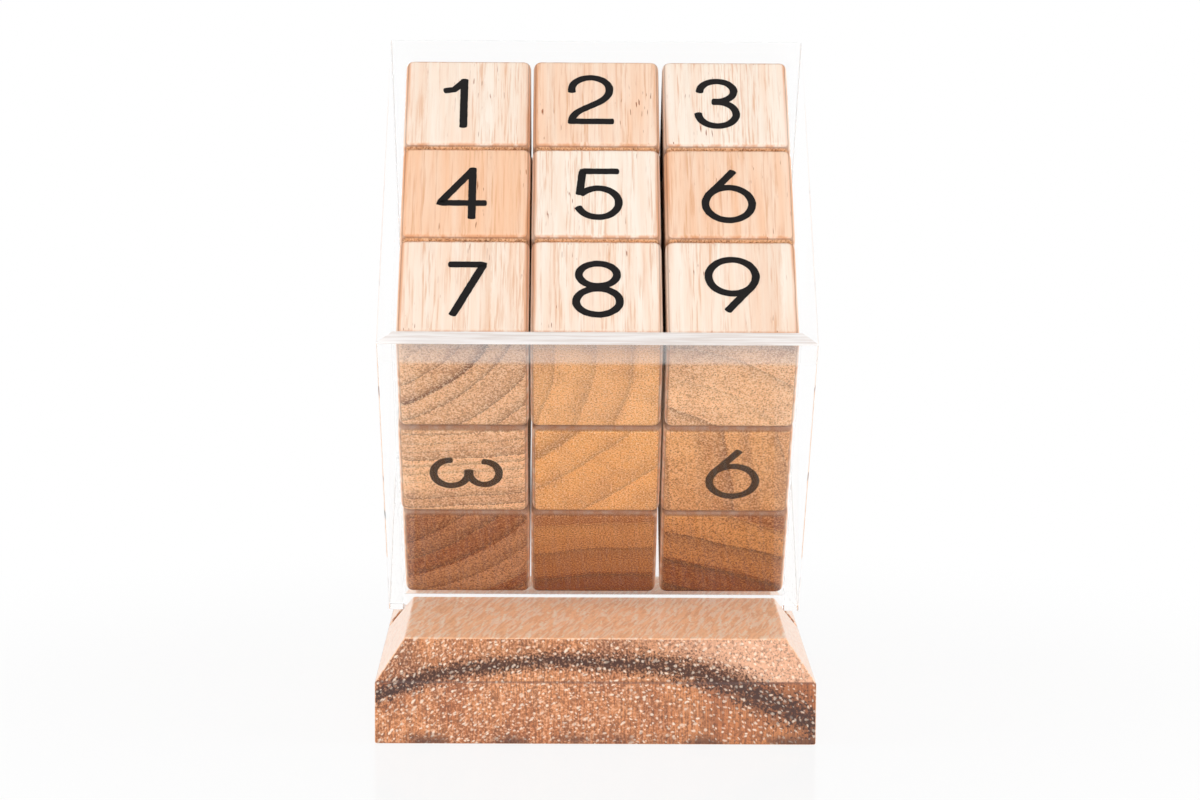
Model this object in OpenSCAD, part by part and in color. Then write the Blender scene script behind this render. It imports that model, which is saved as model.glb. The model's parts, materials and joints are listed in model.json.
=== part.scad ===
// Number-cube puzzle: 27 wooden cubes in an open acrylic box, which stands tilted in a slotted wooden base.
// Millimetres, +Z up, front towards -Y, origin at the centre of the base's underside.
// Box coordinates: x across, y from the front panel's outer face backwards, z from the box's lower edge to its rim.

/* [Cubes] */
// Edge length of a wooden cube
cube_size = 20; // [16:0.5:26]
// Radius of a cube's rounded edges
cube_round = 1.2; // [0.6:0.1:2]
// Gap under, behind and in front of each cube, where the cubes lie against each other
cube_gap = 0.1; // [0.05:0.05:0.3]
// Mean gap between two columns of cubes
column_gap = 0.4; // [0.3:0.05:1]
// Most that a cube lies to one side of its column's middle
cube_nudge = 0.12; // [0:0.01:0.14]

/* [Acrylic box] */
// Thickness of the acrylic sheet
sheet = 2.5; // [2:0.1:3.5]
// Mean gap between the outer cubes and the side panels
wall_gap = 0.2; // [0.2:0.05:1]
// Gap between the rear cubes and the back panel
back_gap = 1.2; // [0.3:0.1:2]
// How far the rim stands above the cubes
rim_above = 0.7; // [0:0.1:4]
// How far the box leans forward from upright, in degrees
tilt = 41; // [32:1:46]
// How far the box's lower edge lies below the base's top, along the lean
box_sunk = 3.5; // [1:0.1:5]

/* [Base] */
// Depth of the wooden base, front to back
base_d = 70; // [60:1:90]
// How far the base reaches past the box on each side
base_side = 0.2; // [0:0.1:4]
// Height of the base
base_h = 15.5; // [14:0.1:24]
// Width of the chamfers round the top, seen from above
chamfer_in = 4.3; // [3:0.1:6]
// Height of the chamfers
chamfer_down = 6; // [4:0.1:7]
// How far the slot's front edge lies behind the middle of the base
slot_back = 5; // [-6:0.5:8]
// Depth of the slot below the base's top, along its slant
slot_deep = 9.5; // [7:0.5:11]
// Clearance round the front panel's tongue in the slot and under the floor panel in its seat
slot_clear = 0.1; // [0.05:0.05:0.3]

/* [Hidden] */
LAYERS = ["low", "mid", "top"];
ROWS = ["front", "mid", "back"];
COLUMNS = ["left", "mid", "right"];
PANELS = ["box_front", "box_back", "box_left", "box_right", "box_floor"];
function cube_name(layer, row, column) = str("cube_", LAYERS[layer], "_", ROWS[row], "_", COLUMNS[column]);
CUBES = [for (layer = [0:2]) for (row = [0:2]) for (column = [0:2]) cube_name(layer, row, column)];
$fn = 48;

// Box sizes, worked out from the stack that it holds
cube_pitch = cube_size + cube_gap;
column_pitch = cube_size + column_gap;
inner_w = 2 * column_pitch + cube_size + 2 * wall_gap;
inner_d = cube_gap + 2 * cube_pitch + cube_size + back_gap;
outer_w = inner_w + 2 * sheet;
outer_d = inner_d + 2 * sheet;
rim_z = sheet + cube_gap + 2 * cube_pitch + cube_size + rim_above;
tongue = slot_deep - box_sunk - slot_clear;
base_w = outer_w + 2 * base_side;

// A cube's sideways place in its column, a fixed scatter between -1 and 1 times cube_nudge
scatter_step = 137.5;
function nudge(layer, row, column) = cube_nudge * sin(scatter_step * (9 * layer + 3 * row + column + 1));

// Places children given in box coordinates
module in_box() {
    translate([0, slot_back, base_h]) rotate([tilt, 0, 0]) translate([0, 0, -box_sunk]) children();
}

// Section of the base: an upright block with its two upper edges chamfered
module base_section(width) {
    half = width / 2;
    polygon([
        [-half, 0], [half, 0], [half, base_h - chamfer_down], [half - chamfer_in, base_h],
        [chamfer_in - half, base_h], [-half, base_h - chamfer_down]
    ]);
}

// A square cut right across the base, from its lowest y and z in box coordinates
module cut_across(y, z, deep, high) {
    in_box() translate([-base_w, y, z]) cube([2 * base_w, deep, high]);
}

// Wooden base: a slanted saw slot holds the front panel's tongue, and a seat behind the slot takes the floor panel
module base() {
    color("sienna") difference() {
        intersection() {
            rotate([90, 0, 0]) linear_extrude(base_d, center = true) base_section(base_w);
            rotate([90, 0, 90]) linear_extrude(base_w, center = true) base_section(base_d);
        }
        cut_across(-slot_clear, -tongue - slot_clear, sheet + 2 * slot_clear, slot_deep + base_h);
        cut_across(-slot_clear, -slot_clear, base_d, base_d);
    }
}

// One acrylic panel from its lowest to its highest corner, in box coordinates
module panel(low, high) {
    color("lightcyan", 0.4) in_box() translate(low) cube(high - low);
}

// Front panel: fits between the sides, and its tongue runs on below the box into the base's slot
module box_front() panel([-inner_w / 2, 0, -tongue], [inner_w / 2, sheet, rim_z]);

module box_back() panel([-inner_w / 2, outer_d - sheet, 0], [inner_w / 2, outer_d, rim_z]);

module box_left() panel([-outer_w / 2, 0, 0], [-inner_w / 2, outer_d, rim_z]);

module box_right() panel([inner_w / 2, 0, 0], [outer_w / 2, outer_d, rim_z]);

module box_floor() panel([-inner_w / 2, sheet, 0], [inner_w / 2, outer_d - sheet, sheet]);

// Square with rounded corners, from two squares and four circles
module rounded_square(size, radius) {
    inset = size / 2 - radius;
    square([size, 2 * inset], center = true);
    square([2 * inset, size], center = true);
    for (x = [-inset, inset], y = [-inset, inset]) translate([x, y]) circle(radius);
}

// Cube about the origin with all its edges rounded: what three rounded bars have in common
module rounded_cube(size, radius) {
    intersection() {
        linear_extrude(size, center = true) rounded_square(size, radius);
        rotate([90, 0, 0]) linear_extrude(size, center = true) rounded_square(size, radius);
        rotate([0, 90, 0]) linear_extrude(size, center = true) rounded_square(size, radius);
    }
}

// One cube of the stack, leaning on the floor and the front panel through its neighbours
module wooden_cube(layer, row, column) {
    place = [
        (column - 1) * column_pitch + nudge(layer, row, column),
        sheet + cube_gap + cube_size / 2 + row * cube_pitch,
        sheet + cube_gap + cube_size / 2 + layer * cube_pitch
    ];
    color("burlywood") in_box() translate(place) rounded_cube(cube_size, cube_round);
}

base();
box_front();
box_back();
box_left();
box_right();
box_floor();
for (layer = [0:2], row = [0:2], column = [0:2])
    wooden_cube(layer, row, column);
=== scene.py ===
# %% [markdown]
# # A number-cube puzzle in its acrylic box
# Twenty-seven wooden cubes with printed numerals stand in an open acrylic box. The box leans forward, and
# the foot of its front panel is plugged into a slot in a block of dark wood. The sizes and places come from
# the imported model, which is loaded first and never moved. This lesson only dresses it: wood, acrylic, ink
# and light.

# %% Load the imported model
import json
import math
from collections import namedtuple
import bmesh
import bpy
from mathutils import Matrix, Quaternion, Vector, noise


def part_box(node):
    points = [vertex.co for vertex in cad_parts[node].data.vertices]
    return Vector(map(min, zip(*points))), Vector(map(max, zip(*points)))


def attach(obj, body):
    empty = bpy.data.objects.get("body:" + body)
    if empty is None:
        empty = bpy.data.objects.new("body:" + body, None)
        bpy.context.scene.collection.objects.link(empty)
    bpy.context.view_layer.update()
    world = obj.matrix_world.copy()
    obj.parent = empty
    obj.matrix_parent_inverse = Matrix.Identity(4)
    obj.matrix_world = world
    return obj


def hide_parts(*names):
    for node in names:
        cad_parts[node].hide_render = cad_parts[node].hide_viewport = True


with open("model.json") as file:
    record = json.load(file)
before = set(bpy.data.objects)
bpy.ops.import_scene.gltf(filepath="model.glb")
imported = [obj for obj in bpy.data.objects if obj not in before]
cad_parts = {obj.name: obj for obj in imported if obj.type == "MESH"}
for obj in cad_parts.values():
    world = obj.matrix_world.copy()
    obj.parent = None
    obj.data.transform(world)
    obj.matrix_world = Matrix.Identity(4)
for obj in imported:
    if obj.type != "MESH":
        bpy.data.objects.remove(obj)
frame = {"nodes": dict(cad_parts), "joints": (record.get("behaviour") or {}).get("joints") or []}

MM = 0.001
UP = Vector((0, 0, 1))
scene = bpy.context.scene
scene.view_settings.view_transform = "Standard"
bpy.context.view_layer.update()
base_low, base_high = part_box("base")

# %% [markdown]
# ## The leaning box's own directions
# Everything in the box is square to the box and not to the table. So the box gets its own coordinates: x
# across, y from the front panel backwards, z from the lower edge up to the rim. The way the box is pulled
# out of its slot gives the lean, and each node is measured after turning it upright.

# %% Box coordinates
unplug = next(joint for joint in frame["joints"] if joint["name"] == "box_unplug")
LEAN = math.atan2(-unplug["axis"][1], unplug["axis"][2])
TURN = Matrix.Rotation(LEAN, 4, "X")
BOX_WAYS = [column.copy() for column in TURN.to_3x3().col]
BOX_BACK, BOX_UP = BOX_WAYS[1:]


def bounds_in(node, place):
    """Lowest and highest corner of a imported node, in the coordinates that a matrix places."""
    upright = place.inverted()
    points = [upright @ vertex.co for vertex in frame["nodes"][node].data.vertices]
    low = Vector([min(point[axis] for point in points) for axis in range(3)])
    high = Vector([max(point[axis] for point in points) for axis in range(3)])
    return low, high


box_low, box_high = bounds_in("box_left", TURN)
BOX = TURN @ Matrix.Translation((0, box_low.y, box_low.z))


def box_bounds(node):
    return bounds_in(node, BOX)


front_low, front_high = box_bounds("box_front")
sheet = front_high.y - front_low.y
print("the box leans forward by", round(math.degrees(LEAN), 2), "degrees")

# %% [markdown]
# ## Camera
# The photograph was taken from far away with a long lens, a little above the table and almost straight ahead.
# The camera is set by the point that it looks at, its distance and three small angles.

# %% Camera
PICTURE_WIDTH = 1200
FOCAL_PIXELS = 3798
SENSOR_WIDTH = 36
NEAREST_SEEN = 10 * MM
LOOKS_AT = Vector((0.7, -5.0, 48.7)) * MM
DISTANCE = 597.5 * MM
YAW = math.radians(0.55)
ELEVATION = math.radians(7.07)
ROLL = math.radians(0.32)


def add_object(name, data):
    """A new object in the scene."""
    made = bpy.data.objects.new(name, data)
    scene.collection.objects.link(made)
    return made


camera_data = bpy.data.cameras.new("photo_camera")
camera_data.sensor_fit = "HORIZONTAL"
camera_data.sensor_width = SENSOR_WIDTH
camera_data.lens = FOCAL_PIXELS / PICTURE_WIDTH * SENSOR_WIDTH
camera_data.clip_start = NEAREST_SEEN
camera = add_object("photo_camera", camera_data)
level = math.cos(ELEVATION)
ahead = Vector((math.sin(YAW) * level, math.cos(YAW) * level, -math.sin(ELEVATION)))
camera.location = LOOKS_AT - ahead * DISTANCE
camera.rotation_mode = "QUATERNION"
camera.rotation_quaternion = ahead.to_track_quat("-Z", "Y") @ Quaternion((0, 0, 1), ROLL)
scene.camera = camera
print("lens", round(camera_data.lens, 1), "mm")

# %% [markdown]
# ## Small helpers for shader nodes
# A node tree is easier to read when a sum is one line. Each helper makes one node, or a short row of them,
# feeds the inputs with numbers or with other nodes' outputs, and gives back the output. The new node goes
# into the tree of the outputs that it is fed with. A node that is fed with numbers alone is told its tree.

# %% Node helpers
WHITE = (1, 1, 1, 1)
BUMP_STRENGTH = 0.3


def colour(red, green, blue):
    """A colour as a screen shows it, 0 to 255, turned into the linear values that shaders use."""
    linear = [((part / 255 + 0.055) / 1.055) ** 2.4 for part in (red, green, blue)]
    return (*linear, 1.0)


def is_output(value):
    return isinstance(value, bpy.types.NodeSocket)


def feed(socket, value):
    """Links an output to the socket, or sets a plain value on it."""
    if is_output(value):
        socket.id_data.links.new(value, socket)
    else:
        socket.default_value = value


def add_node(kind, inputs=None, tree=None, **options):
    """Makes a node, sets its options, feeds its inputs by name or number and gives back its outputs."""
    inputs = inputs or {}
    tree = tree or next(value.id_data for value in inputs.values() if is_output(value))
    made = tree.nodes.new("ShaderNode" + kind)
    for option, value in options.items():
        setattr(made, option, value)
    for socket, value in inputs.items():
        feed(made.inputs[socket], value)
    return made.outputs


def coordinates(tree, kind):
    return add_node("TexCoord", tree=tree)[kind]


def maths(operation, first, second=0.0, clamp=False):
    return add_node("Math", {0: first, 1: second}, operation=operation, use_clamp=clamp)[0]


def plus(first, second, clamp=False):
    return maths("ADD", first, second, clamp)


def minus(first, second):
    return maths("SUBTRACT", first, second)


def over(first, second):
    return maths("DIVIDE", first, second)


def times(product, *others):
    """The product of all the values."""
    for other in others:
        product = maths("MULTIPLY", product, other)
    return product


def vector_maths(operation, first, second, output="Vector"):
    return add_node("VectorMath", {0: first, 1: second}, operation=operation)[output]


def along_way(vector, way):
    """How far a vector reaches in a direction."""
    return vector_maths("DOT_PRODUCT", vector, way, "Value")


def length_of(vector):
    return vector_maths("LENGTH", vector, (0, 0, 0), "Value")


def parts(vector):
    return add_node("SeparateXYZ", {0: vector})


def vector_of(*values):
    """A vector from one to three values."""
    return add_node("CombineXYZ", dict(enumerate(values)))[0]


def step_between(value, start, end, low=0.0, high=1.0):
    """A smooth step from low to high while value goes from start to end."""
    inputs = {"Value": value, "From Min": start, "From Max": end, "To Min": low, "To Max": high}
    return add_node("MapRange", inputs, interpolation_type="SMOOTHSTEP")[0]


def blend(share, first, second):
    """Mixes two colours."""
    return add_node("Mix", {0: share, 6: first, 7: second}, data_type="RGBA")[2]


def tint(ground, paint, *shares):
    """Lays a colour over another one, by the product of the shares."""
    return blend(times(*shares), ground, paint)


def cloud(place, scale=1.0, detail=2.0, roughness=0.5):
    """A noise value at a place."""
    inputs = {"Vector": place, "Scale": scale, "Detail": detail, "Roughness": roughness}
    return add_node("TexNoise", inputs)[0]


def cloud_along(value):
    """A noise value along one number, such as the distance from the heart of a tree."""
    return add_node("TexNoise", {"W": value, "Scale": 1.0, "Detail": 1.0}, noise_dimensions="1D")[0]


def stretched(place, across, along):
    """The place in lengths of across in x and z, and of along in y, the way the fibres run."""
    return vector_maths("MULTIPLY", place, (1 / across, 1 / along, 1 / across))


def patches(place, across, along, start, end, low=0.0, high=1.0, detail=2.0):
    """Patches of about a given size, where a noise passes from start to end."""
    value = cloud(stretched(place, across, along), detail=detail)
    return step_between(value, start, end, low, high)


def bump(height, distance):
    return add_node("Bump", {"Height": height, "Distance": distance, "Strength": BUMP_STRENGTH})[0]


def mix_shaders(share, first, second):
    return add_node("MixShader", {0: share, 1: first, 2: second})[0]


def material(name, **values):
    """A new material with a Principled shader, whose plain values are set by socket name."""
    made = bpy.data.materials.new(name)
    made.use_nodes = True
    shader = made.node_tree.nodes["Principled BSDF"]
    for socket, value in values.items():
        shader.inputs[socket.replace("_", " ")].default_value = value
    return made, made.node_tree, shader.inputs


def group(name, inputs, outputs):
    """An empty node group with float and vector inputs and float outputs."""
    tree = bpy.data.node_groups.new(name, "ShaderNodeTree")
    for socket, kind in inputs.items():
        tree.interface.new_socket(socket, in_out="INPUT", socket_type="NodeSocket" + kind)
    for socket in outputs:
        tree.interface.new_socket(socket, in_out="OUTPUT", socket_type="NodeSocketFloat")
    return tree, tree.nodes.new("NodeGroupInput").outputs, tree.nodes.new("NodeGroupOutput").inputs


def use_group(shared, **values):
    """Places a group in a material and feeds its inputs by name."""
    inputs = {socket.replace("_", " "): value for socket, value in values.items()}
    return add_node("Group", inputs, node_tree=shared)


print("node helpers ready")

# %% [markdown]
# ## Grain, shared by both woods
# A piece of wood is a small part of a tree: growth rings lie around its heart, fibres and pores run along
# it. Two flat pictures would never meet at an edge, so the grain is worked out in space, from the place in
# the tree. The same place then gives long lines on a side, and dots and arcs on an end. A pore is a tube: a
# dot in the section across the fibres, which opens and closes along its way, so it shows as a row of dashes
# on a side. In the section the pores lie in rows along the rings and are wider that way. Rays are thin
# sheets that stand outwards from the heart, so they cross the rings. All lengths are in millimetres.

# %% The grain group
WOBBLE_ACROSS = 16
WOBBLE_ALONG = 45
ROW_STRETCH = 1.35
CROWD_SCALE = 0.6
CROWD_PUSH = 1.6
SMALLEST_PORE = 0.6
FAINTEST_PORE = 0.5
PORE_STARTS = 50.0
RAY_WIDTH = 0.26
RAY_LENGTH = 5


def grain_of_wood():
    tree, given, result = group(
        "grain of wood",
        {"Place": "Vector", "Wobble": "Float", "Fibre Width": "Float", "Fibre Length": "Float",
         "Pore Gap": "Float", "Pore Length": "Float", "Pore Size": "Float"},
        ("Radius", "Fibre", "Pore", "Ray"),
    )
    place = given["Place"]
    across, along, up = parts(place)
    from_heart = length_of(vector_maths("MULTIPLY", place, (1, 0, 1)))
    round_heart = times(maths("ARCTAN2", across, up), from_heart)
    sway = minus(cloud(stretched(place, WOBBLE_ACROSS, WOBBLE_ALONG)), 0.5)
    feed(result["Radius"], plus(from_heart, times(sway, given["Wobble"])))

    fibre = vector_of(given["Fibre Width"], given["Fibre Length"], given["Fibre Width"])
    in_fibres = vector_maths("DIVIDE", place, fibre)
    feed(result["Fibre"], cloud(in_fibres, detail=3.0, roughness=0.6))

    crowding = times(cloud(place, CROWD_SCALE), CROWD_PUSH)
    section_lengths = (over(round_heart, ROW_STRETCH), from_heart)
    in_gaps = [over(length, given["Pore Gap"]) for length in section_lengths]
    crowded = vector_of(*(plus(gaps, crowding) for gaps in in_gaps))
    pores = add_node("TexVoronoi", {"Vector": crowded, "Scale": 1.0}, voronoi_dimensions="2D")
    for_size, for_start, for_depth = parts(pores["Color"])
    size = times(plus(SMALLEST_PORE, for_size), given["Pore Size"])
    from_middle = over(pores["Distance"], size)
    start = times(for_start, PORE_STARTS)
    on_its_way = cloud_along(plus(over(along, given["Pore Length"]), start))
    depth = plus(FAINTEST_PORE, times(for_depth, 1 - FAINTEST_PORE))
    dot = step_between(from_middle, 1.25, 0.45)
    feed(result["Pore"], times(dot, step_between(on_its_way, 0.33, 0.43), depth))

    ray_sizes = ((round_heart, RAY_WIDTH), (along, RAY_LENGTH), (from_heart, RAY_LENGTH))
    in_rays = vector_of(*(over(length, unit) for length, unit in ray_sizes))
    feed(result["Ray"], cloud(in_rays, detail=1.0))
    return tree


grain_group = grain_of_wood()
print("grain group:", len(grain_group.nodes), "nodes")

# %% [markdown]
# ## Growth rings
# In a year's ring the wood darkens slowly towards its outer border and then starts light again at once. So
# a ring is a slow rise, a thin dark border and a sudden fall, not a wave. No two years are alike: the rings
# differ in width and in depth.

# %% The ring group
RISE_FROM = 0.1
RISE_POWER = 2.5
BORDER_FROM = 0.86
BORDER_AT = 0.95
FAINTEST_YEAR = 0.3


def growth_rings():
    tree, given, result = group("growth rings", {"Radius": "Float", "Ring Gap": "Float"}, ("Ring", "Year"))
    even_years = over(given["Radius"], given["Ring Gap"])
    years = plus(even_years, minus(cloud_along(even_years), 0.5))
    season = maths("FRACT", years)
    slow_rise = maths("POWER", step_between(season, RISE_FROM, BORDER_AT), RISE_POWER)
    border = step_between(season, BORDER_FROM, BORDER_AT)
    ring = times(plus(slow_rise, border), 0.5)
    fall = step_between(season, 1.0, BORDER_AT)
    year = maths("FLOOR", years)
    chance = add_node("TexWhiteNoise", {"W": year}, noise_dimensions="1D")["Value"]
    depth = plus(FAINTEST_YEAR, times(chance, 1 - FAINTEST_YEAR))
    feed(result["Ring"], times(ring, fall, depth))
    feed(result["Year"], step_between(chance, 0.25, 0.75))
    return tree


ring_group = growth_rings()
print("ring group:", len(ring_group.nodes), "nodes")

# %% [markdown]
# ## End grain
# Where the saw cuts across the fibres the open ends drink in oil and look darker and browner. How much of
# an end a face is follows from the angle between the face and the fibres, so rounded edges turn brown by
# themselves. The ends at the front and at the back begin at slightly different angles.

# %% The end grain group
FRONT_END_FROM, FRONT_END_AT = -0.6, -0.88
BACK_END_FROM, BACK_END_AT = 0.65, 0.95


def end_grain():
    tree, given, result = group("end grain", {"Facing": "Vector", "Fibre Way": "Vector"}, ("End",))
    along_fibres = along_way(given["Facing"], given["Fibre Way"])
    front_end = step_between(along_fibres, FRONT_END_FROM, FRONT_END_AT)
    back_end = step_between(along_fibres, BACK_END_FROM, BACK_END_AT)
    feed(result["End"], plus(front_end, back_end))
    return tree


end_group = end_grain()
print("end grain group:", len(end_group.nodes), "nodes")

# %% [markdown]
# ## Pale wood of the cubes
# The cubes are a cream-coloured plantation wood, sanded and oiled. Fibres run from front to back, so the
# upper faces show fine straight lines with a few brown vessel dashes, and the front faces show end grain
# with rings. The rounded edges are a little browner, partly wear and partly painted shade, and painted
# shade lays a dark line along them where two cubes meet. Every cube was sawn from another place in a tree.
# That place is kept in the mesh, as an attribute in millimetres called grain, so one material serves all
# cubes. The attribute tone holds three shares: how peach the long sides are, how golden the ends are, and
# how dark they are, which includes painted shade that darkens each end towards its lower edge. The
# attribute rings holds the width of a ring, how strongly it shows and how far the rings are moved
# outwards. The attribute covered is 1 where another cube lies on top, and there painted shade darkens the
# upper rounded edges.

# %% Pale wood
CREAM = colour(250, 236, 221)
PEACH = colour(246, 198, 162)
FIBRE_TAN = colour(222, 164, 120)
VESSEL_BROWN = colour(168, 98, 62)
EDGE_TAN = colour(216, 146, 98)
CREVICE_SHADE = colour(106, 62, 38)
END_ROSE = colour(255, 204, 158)
END_GOLD = colour(255, 182, 102)
END_DEEP = colour(134, 60, 22)
RING_BROWN = colour(94, 46, 26)
END_SPECK = colour(255, 228, 196)
RING_FRAY = 0.8
PEACH_DRIFT = 1.3
RING_ON_SIDE = 0.35
RING_ON_END = 0.95
YEAR_ON_END = 0.32
DEEPEST_END = 1.1
PALE_YEAR = 0.27
COVERED_SHADE = 0.7
CUBE_BUMP = 0.05 * MM


def mesh_values(tree, name):
    """The three numbers that a mesh keeps under an attribute's name."""
    return add_node("Attribute", tree=tree, attribute_name=name)["Vector"]


def pale_wood():
    made, tree, shader = material("pale_wood", Specular_IOR_Level=0.3)
    facing = coordinates(tree, "Normal")
    place = mesh_values(tree, "grain")
    # dark includes painted shade that grows towards each cube's lower edge
    peach, gold, dark = parts(mesh_values(tree, "tone"))
    ring_gap, figure, shift = parts(mesh_values(tree, "rings"))
    covered = parts(mesh_values(tree, "covered"))[0]
    grain = use_group(grain_group, Place=place, Wobble=3.0, Fibre_Width=0.32, Fibre_Length=9.0)
    speck = cloud(stretched(place, across=0.27, along=1.5), roughness=0.7)
    frayed = times(minus(speck, 0.5), RING_FRAY)
    radius = plus(plus(grain["Radius"], shift), frayed)
    rings = use_group(ring_group, Radius=radius, Ring_Gap=ring_gap)
    end = use_group(end_group, Facing=facing, Fibre_Way=BOX_BACK)["End"]
    line = times(rings["Ring"], figure)
    band = times(rings["Year"], figure)

    drift = minus(cloud(stretched(place, across=1.6, along=30), detail=3), 0.5)
    long_side = blend(plus(peach, times(drift, PEACH_DRIFT), clamp=True), CREAM, PEACH)
    strand = patches(place, across=1.4, along=40, start=0.38, end=0.62, low=0.08, high=0.65)
    long_side = tint(long_side, FIBRE_TAN, step_between(grain["Fibre"], 0.46, 0.66), strand)
    flame = patches(place, across=0.5, along=14, start=0.52, end=0.7, high=0.5, detail=3)
    long_side = tint(long_side, EDGE_TAN, flame, peach)
    long_side = tint(long_side, FIBRE_TAN, line, RING_ON_SIDE)
    vessel = patches(place, across=0.32, along=3, start=0.68, end=0.75, detail=1)
    with_vessels = patches(place, across=5, along=16, start=0.48, end=0.64)
    long_side = tint(long_side, VESSEL_BROWN, vessel, with_vessels)

    end_side = blend(gold, END_ROSE, END_GOLD)
    pale_year = times(minus(figure, band), PALE_YEAR)
    end_side = tint(end_side, END_DEEP, dark, minus(DEEPEST_END, pale_year))
    end_side = tint(end_side, END_DEEP, band, YEAR_ON_END)
    end_side = tint(end_side, RING_BROWN, line, RING_ON_END)
    mottle = patches(place, across=3.5, along=9, start=0.4, end=0.75, high=0.24, detail=3)
    end_side = tint(end_side, END_DEEP, mottle)
    pale_share = minus(0.6, times(dark, 0.3))
    pale_paint = blend(dark, END_SPECK, END_GOLD)
    end_side = tint(end_side, pale_paint, step_between(speck, 0.5, 0.62), pale_share)
    dark_share = plus(0.55, times(dark, 0.35))
    end_side = tint(end_side, RING_BROWN, step_between(speck, 0.48, 0.36), dark_share)

    along_ways = [along_way(facing, way) for way in BOX_WAYS]
    squarest = 0.0
    for reach in along_ways:
        squarest = maths("MAXIMUM", squarest, maths("ABSOLUTE", reach))
    # The start of each rounded edge is browner: partly wear and partly painted shade
    worn_and_shaded = step_between(drift, -0.1, 0.1, 0.2, 0.7)
    long_side = tint(long_side, EDGE_TAN, step_between(squarest, 0.995, 0.85), worn_and_shaded)

    # Painted shade: the middle of every rounded edge is darkened as a line where two cubes meet, and the
    # upper rounded edges darken more where another cube lies on top
    crevice_shade = step_between(squarest, 0.84, 0.73, 0.0, 0.5)
    upper = step_between(along_ways[2], 0.3, 0.6)
    rounded = step_between(squarest, 0.998, 0.97)
    crevice_shade = maths("MAXIMUM", crevice_shade, times(upper, rounded, covered, COVERED_SHADE))
    both = blend(end, long_side, end_side)
    feed(shader["Base Color"], tint(both, CREVICE_SHADE, crevice_shade))
    feed(shader["Roughness"], step_between(grain["Fibre"], 0.3, 0.7, 0.5, 0.68))
    feed(shader["Normal"], bump(grain["Fibre"], CUBE_BUMP))
    return made


cube_wood = pale_wood()
print("pale wood:", len(cube_wood.node_tree.nodes), "nodes")

# %% [markdown]
# ## Dark wood of the base
# The base is a block of coarse, brown hardwood with its end grain to the front. Large pores show as pale
# dots, and one nearly black growth ring arches over the front. The heart of the tree lay far below the
# block, so the Mapping node moves the place there, and tips the fibres a little, which draws the dots out
# on the chamfer. On the top pale dashes lean to the right, and the upward long-grain faces are paler,
# partly the wood's tone and partly painted light. The wood is darker above the arch at the left and pale
# at the right, the slopes at the sides carry a painted highlight, and the foot darkens in patches.

# %% Dark wood
ARCH_HEART = (-3.5, -65.8)
ARCH_RADIUS = 78.6
ARCH_FRAY = 6.0
ARCH_SHARE = 0.95
FIBRE_TIP = math.radians(-3)
DASH_LEAN = 0.2
RIGHT_AT = 30.0
CREASE_SHARE = 0.5
FOOT_TOP = 2.2 * MM
FOOT_FULL = 0.3 * MM
BASE_BUMP = 0.08 * MM
BASE_BROWN = colour(182, 108, 63)
BASE_LIGHT = colour(213, 138, 86)
BASE_DARK = colour(76, 42, 32)
BASE_PALE = colour(226, 172, 140)
FLECK_PALE = colour(252, 200, 162)
LIT_TOP_PINK = colour(255, 200, 157)
TOP_FLECK = colour(255, 226, 203)
SLOPE_HIGHLIGHT = colour(255, 236, 224)
ARCH_DARK = colour(56, 24, 12)
PORE_PALE = colour(255, 234, 212)


def place_in_tree(spot):
    """The place in millimetres from the heart of the tree, with y along the fibres."""
    tipped_up = base_low.y / MM * math.sin(FIBRE_TIP)
    inputs = {"Vector": spot, "Scale": (1 / MM, 1 / MM, 1 / MM), "Rotation": (-FIBRE_TIP, 0, 0),
              "Location": (-ARCH_HEART[0], 0, tipped_up - ARCH_HEART[1])}
    return add_node("Mapping", inputs)[0]


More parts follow.
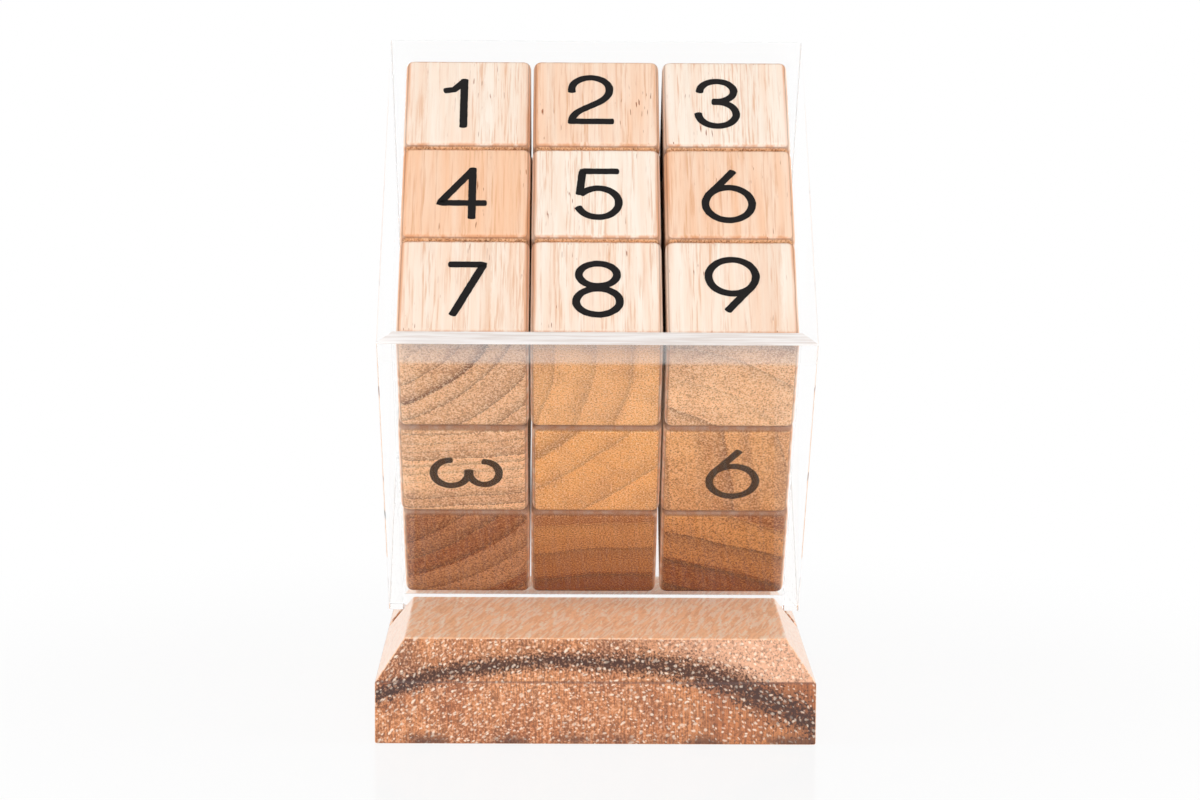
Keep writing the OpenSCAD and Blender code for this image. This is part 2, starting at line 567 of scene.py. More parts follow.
def dark_wood():
    made, tree, shader = material("dark_wood")
    spot = coordinates(tree, "Object")
    facing = coordinates(tree, "Normal")
    place = place_in_tree(spot)
    grain = use_group(grain_group, Place=place, Wobble=3.0, Fibre_Width=0.5, Fibre_Length=9.0,
                      Pore_Gap=0.72, Pore_Length=6.0, Pore_Size=0.2)
    fibre_way = (0, math.cos(FIBRE_TIP), math.sin(FIBRE_TIP))
    end = use_group(end_group, Facing=facing, Fibre_Way=fibre_way)["End"]
    long_side = minus(1.0, end)
    outwards, _, upwards = parts(facing)
    sloping = step_between(upwards, 0.3, 0.55)
    from_middle, along, _ = parts(place)
    to_right = step_between(from_middle, 0.0, RIGHT_AT)
    to_left = minus(1.0, to_right)
    from_arch = minus(grain["Radius"], ARCH_RADIUS)
    fine = cloud(stretched(place, across=0.34, along=1.5), roughness=0.6)

    soft = patches(place, across=8, along=30, start=0.35, end=0.65, detail=3)
    body = blend(soft, BASE_BROWN, BASE_LIGHT)
    body = tint(body, BASE_DARK, step_between(grain["Ray"], 0.42, 0.6, 0.0, 0.42), end)
    body = tint(body, BASE_PALE, step_between(from_arch, 0.5, 3.0), to_right, sloping)
    # The upward long-grain faces are paler: partly the wood's tone and partly painted light on the top that
    # lies in shade under the box
    pale_and_lit_top = times(long_side, plus(0.5, times(sloping, 0.5)))
    body = tint(body, LIT_TOP_PINK, pale_and_lit_top)
    leaning = vector_maths("SUBTRACT", place, vector_of(times(along, DASH_LEAN)))
    top_streak = patches(leaning, across=0.6, along=8, start=0.46, end=0.6, high=0.3)
    body = tint(body, BASE_LIGHT, top_streak, pale_and_lit_top)
    top_fleck = patches(leaning, across=0.5, along=7, start=0.5, end=0.6, high=0.75, detail=1)
    body = tint(body, TOP_FLECK, top_fleck, pale_and_lit_top, sloping)
    # Painted highlight: the side slopes, which mirror the side lamps at a grazing angle, are painted near
    # white
    beside = step_between(maths("ABSOLUTE", outwards), 0.4, 0.7, 0.0, 0.65)
    body = tint(body, SLOPE_HIGHLIGHT, beside, sloping)
    side_streak = step_between(grain["Fibre"], 0.45, 0.65, 0.0, 0.5)
    body = tint(body, BASE_DARK, side_streak, minus(long_side, pale_and_lit_top))

    over_arch = times(step_between(from_arch, 9.0, 1.0), step_between(from_arch, -1.5, 0.5))
    patchy = patches(place, across=7, along=20, start=0.35, end=0.65, low=0.1, high=0.45)
    body = tint(body, BASE_DARK, over_arch, to_left, end, patchy)
    hollow = step_between(fine, 0.5, 0.36, 0.0, 0.6)
    body = tint(body, BASE_DARK, hollow, plus(0.15, times(end, 0.7)))
    dense = maths("MAXIMUM", to_left, times(sloping, 0.8))
    body = tint(body, FLECK_PALE, step_between(fine, 0.52, 0.64, 0.0, 0.5), dense, end)

    off_arch = over(maths("ABSOLUTE", from_arch), plus(1.0, to_right))
    body = tint(body, BASE_DARK, step_between(off_arch, 2.0, 0.3, 0.0, 0.5), end)
    ragged = plus(off_arch, times(fine, ARCH_FRAY))
    arch = times(step_between(ragged, 4.5, 3.1), end)
    body = tint(body, ARCH_DARK, arch, ARCH_SHARE)
    body = tint(body, PORE_PALE, grain["Pore"], minus(0.85, times(arch, 0.3)))

    crease = times(step_between(upwards, 0.08, 0.2), step_between(upwards, 0.54, 0.4))
    body = tint(body, BASE_DARK, crease, CREASE_SHARE)
    # The end faces are darker in patches along their lowest two millimetres
    at_foot = step_between(parts(spot)[2], FOOT_TOP, FOOT_FULL)
    patchy_foot = patches(place, across=6, along=20, start=0.42, end=0.58, high=0.8, detail=3)
    feed(shader["Base Color"], tint(body, BASE_DARK, at_foot, patchy_foot, end))
    dull = step_between(grain["Fibre"], 0.3, 0.7, 0.36, 0.46)
    feed(shader["Roughness"], plus(dull, times(end, 0.12)))
    feed(shader["Normal"], bump(grain["Pore"], BASE_BUMP))
    return made


base_wood = dark_wood()
print("dark wood:", len(base_wood.node_tree.nodes), "nodes")

# %% [markdown]
# ## Acrylic
# The panels are cast acrylic, bonded at their edges, so light goes from one to the next without a break.
# The front panel bends and mirrors light as a thick sheet does. The other walls stand against white and
# hardly show but for their edges, so most light goes straight through them. The front rim was sawn and
# sanded: it is milky, with fine streaks along the cut. Under it on the outside a narrow band of white is
# painted in, a painted reflection of the bright table in front.

# %% Acrylic finishes
ACRYLIC_IOR = 1.49
STRAIGHT_WALL = 0.97
STRAIGHT_EDGE = 0.72
FRONT_REFLECTION_PAINT = 0.25
REFLECTION_PAINT_FROM = 5.0 * MM
REFLECTION_PAINT_AT = 3.7 * MM
REFLECTION_PAINT_DEPTH = 1 * MM
SMEAR_SCALE = 60.0
CUT_SCALE = (90, 3000, 3000)
CUT_BUMP = 0.03 * MM
RIM_WHITE = colour(246, 242, 240)
RIM_GREY = colour(224, 214, 208)


def set_surface(output):
    feed(output.id_data.nodes["Material Output"].inputs["Surface"], output)


def clear_acrylic(name, straight, reflection_paint=0.0):
    """Polished sheet. A share of the light goes straight through, and all of the lamps' light does."""
    made, tree, shader = material(name, Base_Color=WHITE, IOR=ACRYLIC_IOR, Transmission_Weight=1.0)
    place = coordinates(tree, "Object")
    smear = cloud(place, SMEAR_SCALE, detail=3)
    feed(shader["Roughness"], step_between(smear, 0.45, 0.75, 0.0, 0.03))
    lamp_ray = add_node("LightPath", tree=tree)["Is Shadow Ray"]
    bent = tree.nodes["Principled BSDF"].outputs[0]
    through = add_node("BsdfTransparent", tree=tree)[0]
    surface = mix_shaders(maths("MAXIMUM", lamp_ray, straight), bent, through)
    # Painted reflection: a narrow band under the rim, on the outer face, gets white diffuse that stands in
    # for the bright table mirrored in the sheet
    if reflection_paint:
        outside = maths("LESS_THAN", along_way(place, BOX_BACK), box_low.y + REFLECTION_PAINT_DEPTH)
        height = along_way(place, BOX_UP)
        reflection_band = step_between(height, box_high.z - REFLECTION_PAINT_FROM, box_high.z - REFLECTION_PAINT_AT, 0.0, reflection_paint)
        painted_reflection = add_node("BsdfDiffuse", {"Color": WHITE}, tree)[0]
        share = times(reflection_band, outside, minus(1.0, lamp_ray))
        surface = mix_shaders(share, surface, painted_reflection)
    set_surface(surface)
    return made


def sanded_acrylic():
    made, tree, shader = material("sanded_acrylic", IOR=ACRYLIC_IOR, Transmission_Weight=0.1)
    along_cut = vector_maths("MULTIPLY", coordinates(tree, "Object"), CUT_SCALE)
    streaks = cloud(along_cut, detail=3, roughness=0.6)
    paint = blend(step_between(streaks, 0.35, 0.7), RIM_WHITE, RIM_GREY)
    feed(shader["Base Color"], paint)
    feed(shader["Roughness"], step_between(streaks, 0.3, 0.7, 0.4, 0.65))
    feed(shader["Normal"], bump(streaks, CUT_BUMP))
    return made


front_acrylic = clear_acrylic("clear_acrylic", 0.0, FRONT_REFLECTION_PAINT)
wall_acrylic = clear_acrylic("clear_acrylic_walls", STRAIGHT_WALL)
edge_acrylic = clear_acrylic("clear_acrylic_edges", STRAIGHT_EDGE)
rim_acrylic = sanded_acrylic()
BOX_FINISHES = [front_acrylic, wall_acrylic, edge_acrylic, rim_acrylic]
print("acrylic finishes:", [finish.name for finish in BOX_FINISHES])

# %% [markdown]
# ## Ink
# The numerals are printed in black. The print sinks a little into the wood, so it is finely mottled.

# %% Ink
INK_BLACK = colour(14, 11, 11)
INK_THIN = colour(30, 26, 25)
INK_SCALE = 3500.0
INK_BUMP = 0.02 * MM


def black_ink():
    made, tree, shader = material("black_ink", Specular_IOR_Level=0.15)
    speckle = cloud(coordinates(tree, "Object"), INK_SCALE, detail=3, roughness=0.6)
    paint = blend(step_between(speckle, 0.45, 0.75), INK_BLACK, INK_THIN)
    feed(shader["Base Color"], paint)
    feed(shader["Roughness"], step_between(speckle, 0.3, 0.7, 0.55, 0.7))
    feed(shader["Normal"], bump(speckle, INK_BUMP))
    return made


ink = black_ink()
print("ink:", ink.name)

# %% [markdown]
# ## From a mesh in the making to a finished piece
# Each piece is modelled in a bmesh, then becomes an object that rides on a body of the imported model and
# stands for the node whose place it takes. The object stays at the origin: its place is in its mesh.

# %% Piece helpers
EASE_FROM = math.radians(20)
ROUND_PROFILE = 0.5
FLAT_WEIGHT = 100


def mesh_from(name, shape):
    """Turns a bmesh into a mesh and frees it."""
    mesh = bpy.data.meshes.new(name)
    shape.to_mesh(mesh)
    shape.free()
    return mesh


def make_piece(name, shape, body, finishes, replaced=()):
    mesh = mesh_from(name, shape)
    for finish in finishes:
        mesh.materials.append(finish)
    piece = add_object(name, mesh)
    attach(piece, body)
    if replaced:
        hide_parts(*replaced)
    return piece


def ease_edges(shape, width, segments):
    """Rounds all sharp edges, as sanding does."""
    edges = [edge for edge in shape.edges if edge.calc_face_angle(0) > EASE_FROM]
    bmesh.ops.bevel(shape, geom=edges, offset=width, offset_type="OFFSET", affect="EDGES", segments=segments,
                    profile=ROUND_PROFILE, material=-1, clamp_overlap=True)


def shade_smooth(piece):
    """Smooth shading that keeps the large flat faces flat."""
    for polygon in piece.data.polygons:
        polygon.use_smooth = True
    weighted = piece.modifiers.new("flat faces", "WEIGHTED_NORMAL")
    weighted.weight = FLAT_WEIGHT


def block(low, high):
    """A bmesh box from one corner to the other."""
    shape = bmesh.new()
    bmesh.ops.create_cube(shape, size=1.0)
    bmesh.ops.scale(shape, vec=high - low, verts=shape.verts)
    bmesh.ops.translate(shape, vec=(low + high) / 2, verts=shape.verts)
    return shape


def face_towards(shape, way):
    """The face that lies furthest in a direction."""
    return max(shape.faces, key=lambda face: (face.calc_center_median().dot(way), face.normal.dot(way)))


def draw_out(shape, faces, way, keep=False):
    """Extrudes faces by a vector and gives back the moved points. The old faces go, unless they are kept."""
    drawn = bmesh.ops.extrude_face_region(shape, geom=faces)["geom"]
    if not keep:
        bmesh.ops.delete(shape, geom=faces, context="FACES_ONLY")
    points = [item for item in drawn if isinstance(item, bmesh.types.BMVert)]
    bmesh.ops.translate(shape, vec=way, verts=points)
    return points


def combined(solids, operation):
    """The first solid joined with the others, or cut by them, with Boolean modifiers."""
    objects = []
    for solid in solids:
        bmesh.ops.recalc_face_normals(solid, faces=solid.faces)
        objects.append(add_object("solid", mesh_from("solid", solid)))
    kept, *tools = objects
    for tool in tools:
        boolean = kept.modifiers.new("boolean", "BOOLEAN")
        boolean.operation = operation
        boolean.solver = "EXACT"
        boolean.object = tool
    graph = bpy.context.evaluated_depsgraph_get()
    result = bmesh.new()
    result.from_mesh(kept.evaluated_get(graph).to_mesh())
    for item in objects:
        bpy.data.objects.remove(item)
    return result


print("piece helpers ready")

# %% [markdown]
# ## The base
# On the real base a bar of wood was chamfered round its upper edge and sawn across at a slant, with a
# shallow seat behind the saw cut for the box's floor. Here a box as high as the chamfer's foot has its top
# pulled up and drawn in, two leaning blocks cut the slot and the seat, and every edge is eased.

# %% Base
CHAMFER_IN = 4.3 * MM
CHAMFER_DOWN = 6 * MM
SLOT_CLEAR = 0.1 * MM
BASE_EASE = 0.3 * MM
BASE_EASE_STEPS = 3


def chamfered_bar():
    shape = block(base_low, base_high - UP * CHAMFER_DOWN)
    raised = draw_out(shape, [face_towards(shape, UP)], UP * CHAMFER_DOWN)
    draw_in = [1 - 2 * CHAMFER_IN / (base_high[axis] - base_low[axis]) for axis in (0, 1)]
    bmesh.ops.scale(shape, vec=(*draw_in, 1), verts=raised)
    return shape


base_shape = chamfered_bar()
seat_reach = base_high.y - base_low.y
slot_cut = (-SLOT_CLEAR, sheet + SLOT_CLEAR, front_low.z - SLOT_CLEAR)
seat_cut = (sheet / 2, seat_reach, -SLOT_CLEAR)
for front, back, lowest in (slot_cut, seat_cut):
    saw = block(Vector((2 * base_low.x, front, lowest)), Vector((2 * base_high.x, back, seat_reach)))
    saw.transform(BOX)
    base_shape = combined([base_shape, saw], "DIFFERENCE")
ease_edges(base_shape, BASE_EASE, BASE_EASE_STEPS)
base_piece = make_piece("base_block", base_shape, "stand", [base_wood], ["base"])
shade_smooth(base_piece)
print("base:", len(base_piece.data.polygons), "faces")

# %% [markdown]
# ## The acrylic box
# Five panels are bonded into one open box, and the front panel runs on below it as a tongue. Bonded acrylic
# is one clear body, so the box is modelled as one: a block whose top is inset by the sheet's thickness and
# pushed down to the floor panel. The tongue is drawn out of a strip of the underside.

# %% Acrylic box
PANELS = ("box_front", "box_back", "box_left", "box_right", "box_floor")
ACRYLIC_EASE = 0.2 * MM
ACRYLIC_EASE_STEPS = 2
FRONT, WALL, EDGE, RIM = range(len(BOX_FINISHES))
EDGE_AREA = 400 * MM * MM
FRONT_DEPTH = 1.01 * sheet


def bonded_box():
    left_low, left_high = box_bounds("box_left")
    right_high = box_bounds("box_right")[1]
    back_high = box_bounds("box_back")[1]
    floor_low, floor_high = box_bounds("box_floor")
    low = Vector((left_low.x, 0, floor_low.z))
    high = Vector((right_high.x, back_high.y, left_high.z))
    shape = block(low, high)
    top = face_towards(shape, UP)
    bmesh.ops.inset_region(shape, faces=[top], thickness=sheet, use_even_offset=True)
    draw_out(shape, [top], UP * (floor_high.z - high.z))

    for spot, way in ((front_high, (0, 1, 0)), (front_low, (1, 0, 0)), (front_high, (1, 0, 0))):
        under = [face for face in shape.faces if face.calc_center_median().z < low.z + sheet / 4]
        edges = dict.fromkeys(edge for face in under for edge in face.edges)
        corners = dict.fromkeys(vert for face in under for vert in face.verts)
        bmesh.ops.bisect_plane(shape, geom=[*under, *edges, *corners], plane_co=spot, plane_no=way)
    strip = [face for face in shape.faces if face.normal.z < -0.5
             and face.calc_center_median().y < front_high.y
             and front_low.x < face.calc_center_median().x < front_high.x]
    draw_out(shape, strip, UP * (front_low.z - low.z))
    bmesh.ops.recalc_face_normals(shape, faces=shape.faces)
    return shape


def give_finishes(shape):
    """The front panel, its sanded rim, the other walls and their narrow edges each get their own finish."""
    rim_height = max(vert.co.z for vert in shape.verts)
    for face in shape.faces:
        middle = face.calc_center_median()
        in_front = middle.y < FRONT_DEPTH and abs(face.normal.x) < 0.5
        at_rim = in_front and face.normal.z > 0.3 and middle.z > rim_height - ACRYLIC_EASE
        behind = EDGE if face.calc_area() < EDGE_AREA else WALL
        face.material_index = RIM if at_rim else FRONT if in_front else behind


box_shape = bonded_box()
ease_edges(box_shape, ACRYLIC_EASE, ACRYLIC_EASE_STEPS)
give_finishes(box_shape)
box_shape.transform(BOX)
box_piece = make_piece("acrylic_box", box_shape, "box", BOX_FINISHES, PANELS)
print("acrylic box:", len(box_piece.data.polygons), "faces")

# %% [markdown]
# ## Where each cube was cut
# For each cube that shows, the heart of its tree is given from the cube's middle, across and up in
# millimetres, then the width of a ring, how far the rings are moved and how strongly they show, then how
# peach the long sides are, how golden and how dark the ends are, and how much painted shade darkens an end
# towards its lower edge. In the low row the dark ends are partly the wood and partly painted shade. The
# other cubes take theirs from a rule: each next one turns by the golden angle round the tree.

# %% Cuts
# fall is painted shade: how much darker an end grows towards the cube's lower edge
Cut = namedtuple("Cut", "heart_across heart_up ring_gap shift rings peach gold dark fall")
CUTS = {
    "top_front_left": Cut(-22, 20, 4.0, 0, 1.0, 0.25, 0.1, 0.0, 0.0),
    "top_front_mid": Cut(-60, 8, 6.0, 0, 0.45, 0.2, 0.7, 0.0, 0.0),
    "top_front_right": Cut(-19, -31, 7.0, 0, 0.65, 0.2, 0.15, 0.0, 0.0),
    "mid_front_left": Cut(-5, 75, 1.9, 0, 1.0, 0.4, 0.15, 0.05, 0.1),
    "mid_front_mid": Cut(-38, 42, 7.0, 0, 0.5, 0.4, 1.0, 0.0, 0.1),
    "mid_front_right": Cut(-80, -10, 6.0, 0, 0.8, 0.4, 0.75, 0.28, 0.15),
    # The low row's dark ends are partly the wood and partly painted shade
    "low_front_left": Cut(-25, 35, 4.0, 0, 1.4, 0.5, 0.3, 0.9, 0.2),
    "low_front_mid": Cut(6, -70, 6.0, 0, 1.2, 0.5, 1.0, 0.88, 0.5),
    "low_front_right": Cut(-22, -64, 6.1, 2.5, 1.7, 0.5, 1.0, 0.93, 0.5),
    "top_mid_left": Cut(40, 25, 4.0, 0, 0.5, 0.85, 0.3, 0.2, 0.0),
    "top_mid_mid": Cut(-35, 30, 5.0, 0, 0.3, 0.0, 0.3, 0.2, 0.0),
    "top_mid_right": Cut(25, -45, 4.0, 0, 0.5, 0.7, 0.3, 0.2, 0.0),
    "top_back_left": Cut(-30, -40, 4.0, 0, 0.5, 0.2, 0.3, 0.2, 0.0),
    "top_back_mid": Cut(35, 20, 4.0, 0, 0.5, 0.55, 0.3, 0.2, 0.0),
    "top_back_right": Cut(20, -30, 4.0, 0, 0.4, 0.05, 0.3, 0.2, 0.0),
}
GOLDEN_ANGLE = math.radians(137.5)
NEAREST_HEART = 30
HEART_STEP = 17
HEART_SPREAD = 40
LAYERS = ("low", "mid", "top")
ROWS = ("front", "mid", "back")
COLUMNS = ("left", "mid", "right")
CUBES = [f"{layer}_{row}_{column}" for layer in LAYERS for row in ROWS for column in COLUMNS]


def cut_of(number, cube):
    """How a cube was cut, as listed or by rule."""
    away = NEAREST_HEART + HEART_STEP * number % HEART_SPREAD
    turn = GOLDEN_ANGLE * number
    swing = math.sin(3 * turn)
    by_rule = Cut(heart_across=away * math.cos(turn), heart_up=away * math.sin(turn), ring_gap=4.5 + swing,
                  shift=0, rings=0.6, peach=0.4 + 0.3 * swing, gold=0.4, dark=0.2, fall=0.1)
    return CUTS.get(cube, by_rule)


print(len(CUTS), "cubes cut by hand,", len(CUBES) - len(CUTS), "by rule")

# %% [markdown]
# ## The cubes
# Each cube was sawn from a square stick and tumbled, so its edges are round and no two are quite alike. A
# bmesh cube gets rounded edges, then its points are pulled in a little by a noise that is steady from run
# to run. The place in the tree is written while the cube is still upright, and only then is it turned into
# the leaning box.

# %% Cubes
EDGE_ROUND = 1.2 * MM
EDGE_ROUND_STEPS = 4
UNEVEN = 0.06 * MM
UNEVEN_REACH = 6 * MM
ALONG_STEP = 97.0


def rounded_cube(low, high, number):
    shape = block(low, high)
    ease_edges(shape, EDGE_ROUND, EDGE_ROUND_STEPS)
    middle = (low + high) / 2
    for vert in shape.verts:
        swing = noise.noise(vert.co / UNEVEN_REACH + UP * ALONG_STEP * number)
        vert.co += (middle - vert.co).normalized() * UNEVEN * (0.5 + 0.5 * swing)
    return shape


def write_grain(mesh, middle, number, cut, covered):
    """Stores each point's place in the tree, the cube's tone and rings, and whether a cube lies on it."""
    offset = Vector((-cut.heart_across, ALONG_STEP * number, -cut.heart_up))
    half = max(vertex.co.z for vertex in mesh.vertices) - middle.z
    names = ("grain", "tone", "rings", "covered")
    grain, tone, rings, cover = (mesh.attributes.new(name, "FLOAT_VECTOR", "POINT") for name in names)
    for index, vertex in enumerate(mesh.vertices):
        grain.data[index].vector = (vertex.co - middle) / MM + offset
        lower = (middle.z - vertex.co.z) / (2 * half)
        # The third share carries painted shade that darkens the end towards the cube's lower edge
        tone.data[index].vector = (cut.peach, cut.gold, cut.dark + cut.fall * lower)
        rings.data[index].vector = (cut.ring_gap, cut.rings, cut.shift)
        cover.data[index].vector = (covered, 0, 0)


cube_pieces = {}
for number, cube in enumerate(CUBES):
    node = "cube_" + cube
    low, high = box_bounds(node)
    shape = rounded_cube(low, high, number)
    piece = make_piece("wood_" + cube, shape, node, [cube_wood], [node])
    # Cubes with another cube on top get painted shade on their upper rounded edges
    covered = float(not cube.startswith("top"))
    write_grain(piece.data, (low + high) / 2, number, cut_of(number, cube), covered)
    piece.data.transform(BOX)
    shade_smooth(piece)
    cube_pieces[cube] = piece
print("cubes:", len(cube_pieces), "of", len(cube_pieces[cube].data.polygons), "faces each")

# %% [markdown]
# ## The numerals
# A numeral is drawn with one round pen. Each stroke is a short path of arcs and straight runs. A nib, which
# is an edge as wide as the pen, is extruded along the path, and a blunt half circle closes each end. The
# strokes of a numeral are given a thickness, joined into one solid, and made a little uneven, as print on
# wood is. All its lengths are in millimetres.

# %% Pen strokes
PEN = 1.22
PATH_STEP = 0.3
SAME_POINT = PATH_STEP / 20
ON_RIM = PEN / 100
INK_ABOVE = 0.03
INK_BELOW = 0.03
CAP_STEPS = 8
CAP_BULGE = 0.45
BEND_SLACK = 1.3
PRINT_WOBBLE = 0.05
PRINT_WOBBLE_REACH = 0.7
NUMERAL_STEP = 10
PRINT_SEED = 1


def arc(across, up, half_width, half_height, start, end):
    """Points of an ellipse's arc, with angles in degrees."""
    sweep = math.radians(end - start)
    steps = max(2, round(abs(sweep) * max(half_width, half_height) / PATH_STEP))
    angles = [math.radians(start) + sweep * step / steps for step in range(steps + 1)]
    return [Vector((across + half_width * math.cos(a), up + half_height * math.sin(a), 0)) for a in angles]


def run(*corners):
    """Points along straight runs between corners."""
    points = [Vector((*corners[0], 0))]
    for corner in corners[1:]:
        goal = Vector((*corner, 0))
        start = points[-1]
        steps = max(1, round((goal - start).length / PATH_STEP))
        points += [start.lerp(goal, step / steps) for step in range(1, steps + 1)]
    return points


def bend(start, pull_start, pull_end, end):
    """Points of a cubic curve between two places."""
    places = [Vector((*place, 0)) for place in (start, pull_start, pull_end, end)]
    steps = round((places[3] - places[0]).length * BEND_SLACK / PATH_STEP)
    points = []
    for step in range(steps + 1):
        t = step / steps
        shares = ((1 - t) ** 3, 3 * t * (1 - t) ** 2, 3 * t * t * (1 - t), t ** 3)
        points.append(sum((place * share for place, share in zip(places, shares)), Vector((0, 0, 0))))
    return points


SIX_STROKES = [arc(0, -1.6, 3.6, 3.55, 0, 360), run((0.6, 5.2), (-2.9, 0.55))]
NUMERALS = {
    1: [run((0.9, 5.0), (0.9, -5.0)), run((0.8, 4.9), (-0.7, 3.1), (-1.8, 2.9))],
    2: [arc(0, 2.35, 3.0, 2.65, 185, 0)
        + bend((3.0, 2.35), (3.0, -1.6), (-2.9, -1.4), (-3.0, -5.0))[1:], run((-3.0, -5.0), (3.1, -5.0))],
    3: [arc(-0.1, 2.7, 2.7, 2.3, 175, -95), arc(-0.1, -2.5, 3.0, 2.7, 95, -175)],
    4: [run((1.7, 5.0), (1.7, -5.1)), run((1.6, 4.9), (-3.3, -2.2), (3.4, -2.2))],
    5: [run((2.7, 5.0), (-2.4, 5.0), (-2.85, 0.35)), arc(0.0, -1.9, 3.2, 3.15, 138, -155)],
    6: SIX_STROKES,
    7: [run((-2.4, 5.1), (2.4, 5.1), (-2.0, -5.1))],
    8: [arc(0, 2.95, 2.9, 2.35, 0, 360), arc(0, -2.65, 3.3, 2.7, 0, 360)],
    9: [[-point for point in stroke] for stroke in SIX_STROKES],
}


def sideways(path, index):
    """Half a pen's width square to the path, leaning into corners."""
    before = path[max(index - 1, 0)]
    after = path[min(index + 1, len(path) - 1)]
    return UP.cross((after - before).normalized()) * PEN / 2


def cap_end(shape, end, around, path):
    """Closes a stroke's end with half a circle, swung round from one side of the nib and pressed blunt."""
    start, stop = end.verts
    outward = path[0] - path[1] if around == path[0] else path[-1] - path[-2]
    turn = math.pi if UP.cross(start.co - around).dot(outward) > 0 else -math.pi
    swung = bmesh.ops.spin(shape, geom=[start], cent=around, axis=UP, angle=turn, steps=CAP_STEPS)
    bmesh.ops.remove_doubles(shape, verts=[swung["geom_last"][0], stop], dist=SAME_POINT)
    outward = outward.normalized()
    beside = UP.cross(outward)
    rim = [vert for vert in shape.verts if abs((vert.co - around).length - PEN / 2) < ON_RIM
           and (vert.co - around).dot(outward) > -ON_RIM]
    rim.sort(key=lambda vert: math.atan2((vert.co - around).dot(beside), (vert.co - around).dot(outward)))
    shape.faces.new(rim)
    for vert in rim:
        vert.co -= outward * (vert.co - around).dot(outward) * (1 - CAP_BULGE)


def pen_stroke(path):
    """One closed, flat solid along a path."""
    shape = bmesh.new()
    closed = (path[0] - path[-1]).length < SAME_POINT
    if not closed:
        longer = PEN / 2 * (1 - CAP_BULGE)
        path = path[:]
        path[0] = path[0] + (path[0] - path[1]).normalized() * longer
        path[-1] = path[-1] + (path[-1] - path[-2]).normalized() * longer
    nib = [shape.verts.new(path[0] + side * sideways(path, 0)) for side in (-1, 1)]
    edge = shape.edges.new(nib)
    first = edge
    for index in range(1, len(path)):
        drawn = bmesh.ops.extrude_edge_only(shape, edges=[edge])["geom"]
        edge = next(item for item in drawn if isinstance(item, bmesh.types.BMEdge))
        for vert in edge.verts:
            side = 1 if (vert.co - path[index - 1]).dot(sideways(path, index - 1)) > 0 else -1
            vert.co = path[index] + side * sideways(path, index)
    if not closed:
        for end, around in ((first, path[0]), (edge, path[-1])):
            cap_end(shape, end, around, path)
    bmesh.ops.remove_doubles(shape, verts=shape.verts, dist=SAME_POINT)
    bmesh.ops.recalc_face_normals(shape, faces=shape.faces)
    draw_out(shape, shape.faces[:], UP * (INK_ABOVE + INK_BELOW), keep=True)
    return shape


def numeral(figure):
    """One printed numeral, centred on the origin, with its top towards +Y."""
    shape = combined([pen_stroke(path) for path in NUMERALS[figure]], "UNION")
    for vert in shape.verts:
        spot = Vector((vert.co.x, vert.co.y, NUMERAL_STEP * figure)) / PRINT_WOBBLE_REACH
        sway = noise.noise_vector(spot) * PRINT_WOBBLE
        vert.co += Vector((sway.x, sway.y, -INK_BELOW))
    return mesh_from(f"numeral_{figure}", shape)


# Without a seed this noise starts from the clock, and no two runs would give the same outlines
noise.seed_set(PRINT_SEED)
numerals = {figure: numeral(figure) for figure in NUMERALS}
print("numerals:", {figure: len(mesh.polygons) for figure, mesh in numerals.items()})

# %% [markdown]
# ## Where the numerals are printed
# A set has each numeral six times: eight cubes carry three, twelve carry two, six carry one, and one is
# blank. Each print is written as its side and its numeral. A mark after it says how it is turned: > a
# quarter turn clockwise, < a quarter turn the other way, v upside down.

# %% Prints
PRINTS = {
    "top_back_left": "up1 left8> front6<",
    "top_back_mid": "up2 back7v",
    "top_back_right": "up3 left9>",
    "top_mid_left": "up4 right1< down9",
    "top_mid_mid": "up5",
    "top_mid_right": "up6 right1>",
    "top_front_left": "up7 left5v",
    "top_front_mid": "up8",
    "top_front_right": "up9 left2> back4",
    "mid_back_left": "back3 up6<",
    "mid_back_mid": "back5> up8",
    "mid_back_right": "right4v up7> front2",
    "mid_mid_left": "left2 down5<",
    "mid_mid_right": "up9v",
    "mid_front_left": "front3> up4 right8<",
    "mid_front_mid": "up1",
    "mid_front_right": "front6 left7v",
    "low_back_left": "down6> up3 right9v",
    "low_back_mid": "up5< front2",
    "low_back_right": "back8> up1",
    "low_mid_left": "up7v",
    "low_mid_mid": "down1",
    "low_mid_right": "right9 up5>",
    "low_front_left": "left7< up3 back8",
    "low_front_mid": "down4v up2<",
    "low_front_right": "up3> left4 back6v",
}
TURNS = {"": 0, ">": -90, "v": 180, "<": 90}
# For each side, the way it faces and the way that is up on it
SIDES = {
    "up": ((0, 0, 1), (0, 1, 0)),
    "down": ((0, 0, -1), (0, 1, 0)),
    "front": ((0, -1, 0), (0, 0, 1)),
    "back": ((0, 1, 0), (0, 0, 1)),
    "left": ((-1, 0, 0), (0, 0, 1)),
    "right": ((1, 0, 0), (0, 0, 1)),
}
# How far a print lies from the middle of its face, to the right and up, in millimetres
OFF_CENTRE = {
    "up1": (-1.5, -0.3), "up2": (-0.9, 0.7), "up3": (-1.3, 0.0),
    "up4": (-0.7, -0.3), "up5": (0.3, -0.4), "up6": (-0.1, -0.8),
    "up7": (0.6, -0.7), "up8": (0.2, -0.6), "up9": (0.1, 0.5),
    "front3": (0.5, -0.5), "front6": (1.0, -0.5),
}


def print_place(cube, side, turn, shift):
    """Where a numeral drawn about the origin goes: onto a side of a cube, in box coordinates and metres."""
    low, high = box_bounds("cube_" + cube)
    outward, top = (Vector(way) for way in SIDES[side])
    across = top.cross(outward)
    half = (high.x - low.x) / 2
    spot = (low + high) / 2 + outward * half + (across * shift[0] + top * shift[1]) * MM
    axes = Matrix((across, top, outward)).transposed().to_4x4()
    turned = Matrix.Rotation(math.radians(turn), 4, "Z")
    return Matrix.Translation(spot) @ axes @ turned @ Matrix.Scale(MM, 4)


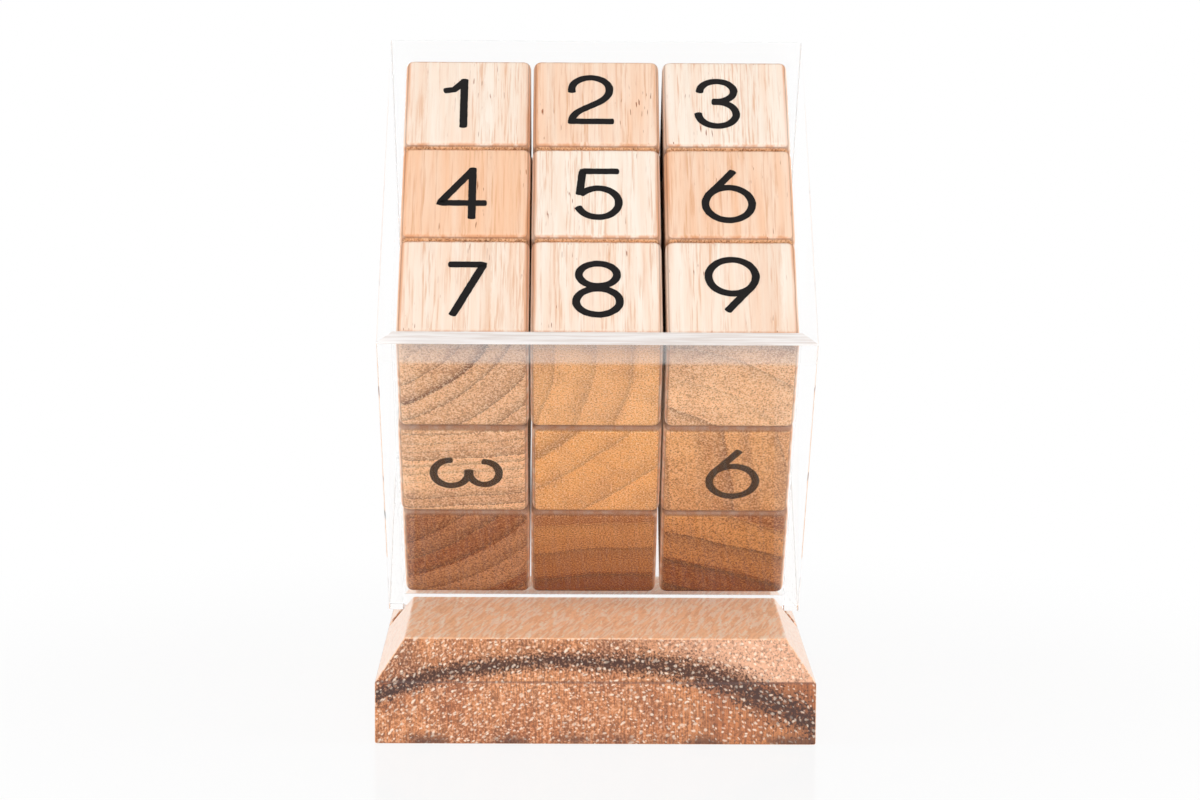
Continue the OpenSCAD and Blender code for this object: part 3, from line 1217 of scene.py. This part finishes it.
def print_cube(cube, words):
    """All prints of one cube as one piece."""
    shape = bmesh.new()
    for word in words.split():
        mark = word[-1] if word[-1] in TURNS else ""
        word = word.rstrip("<>v")
        copy = numerals[int(word[-1])].copy()
        copy.transform(BOX @ print_place(cube, word[:-1], TURNS[mark], OFF_CENTRE.get(word, (0, 0))))
        shape.from_mesh(copy)
    return make_piece("print_" + cube, shape, "cube_" + cube, [ink])


prints = [print_cube(cube, words) for cube, words in PRINTS.items()]
print("prints on", len(prints), "cubes")

# %% [markdown]
# ## Table
# The object stands on a glossy white table that runs out of the picture. It reads as white to the camera
# and in glass, but shines no more light on the object than a white table does: the Light Path node tells
# these rays apart. Near the object a share of its real shading is kept, and with it the shadow.

# %% Table
TABLE_SIZE = 60.0
TABLE_DROP = 0.02 * MM
TABLE_GREY = (0.9, 0.9, 0.9, 1)
WHITE_SHARE = 0.85
WHITE_FROM = 0.06
WHITE_AT = 0.16


def seen_directly(tree):
    """1 for what the camera sees, also in gloss and glass, and 0 for light on its way to a surface."""
    path = add_node("LightPath", tree=tree)
    seen = maths("MAXIMUM", path["Is Camera Ray"], path["Is Glossy Ray"])
    seen = maths("MAXIMUM", seen, path["Is Transmission Ray"])
    return times(seen, maths("LESS_THAN", path["Diffuse Depth"], 0.5))


def white_table():
    made, tree, _ = material("white_table", Base_Color=TABLE_GREY, Roughness=0.12)
    shaded = tree.nodes["Principled BSDF"].outputs[0]
    glow = add_node("Emission", tree=tree)[0]
    away = length_of(coordinates(tree, "Object"))
    share = step_between(away, WHITE_FROM, WHITE_AT, WHITE_SHARE, 1.0)
    set_surface(mix_shaders(times(seen_directly(tree), share), shaded, glow))
    return made


table_shape = bmesh.new()
bmesh.ops.create_grid(table_shape, x_segments=1, y_segments=1, size=TABLE_SIZE / 2)
bmesh.ops.translate(table_shape, vec=-UP * TABLE_DROP, verts=table_shape.verts)
table_mesh = mesh_from("table", table_shape)
table_mesh.materials.append(white_table())
table = add_object("table", table_mesh)
print("table:", TABLE_SIZE, "m")

# %% [markdown]
# ## Light
# Large soft lamps stand low in front, above and at both sides, in a white room. The room is white to the
# camera, and dimmer for the light that it sends to the object. Light may pass many sheets of acrylic before
# it ends.

# %% World and lamps
ROOM_LIGHT = 0.45
SHEET_BOUNCES = 32
scene.cycles.max_bounces = SHEET_BOUNCES
scene.cycles.glossy_bounces = SHEET_BOUNCES
scene.cycles.transmission_bounces = SHEET_BOUNCES


def white_room():
    made = bpy.data.worlds.new("white_room")
    made.use_nodes = True
    tree = made.node_tree
    lit = tree.nodes["Background"]
    feed(lit.inputs["Color"], WHITE)
    feed(lit.inputs["Strength"], ROOM_LIGHT)
    shown = add_node("Background", {"Color": WHITE}, tree)[0]
    surface = mix_shaders(seen_directly(tree), lit.outputs[0], shown)
    feed(tree.nodes["World Output"].inputs["Surface"], surface)
    return made


def lamp(name, place, size, power):
    """A square soft lamp that faces the middle of the object."""
    data = bpy.data.lights.new(name, "AREA")
    data.size = size
    data.energy = power
    made = add_object(name, data)
    made.location = place
    made.rotation_mode = "QUATERNION"
    made.rotation_quaternion = (LOOKS_AT - Vector(place)).to_track_quat("-Z", "Y")


scene.world = white_room()
lamp("lamp_above", place=(0.0, -0.35, 0.75), size=0.6, power=0.2)
lamp("lamp_left", place=(-0.75, -0.1, 0.26), size=0.5, power=2.8)
lamp("lamp_right", place=(0.75, -0.1, 0.26), size=0.5, power=2.8)
lamp("lamp_low", place=(0.0, -0.9, 0.18), size=0.6, power=5.0)
print("world and four lamps")
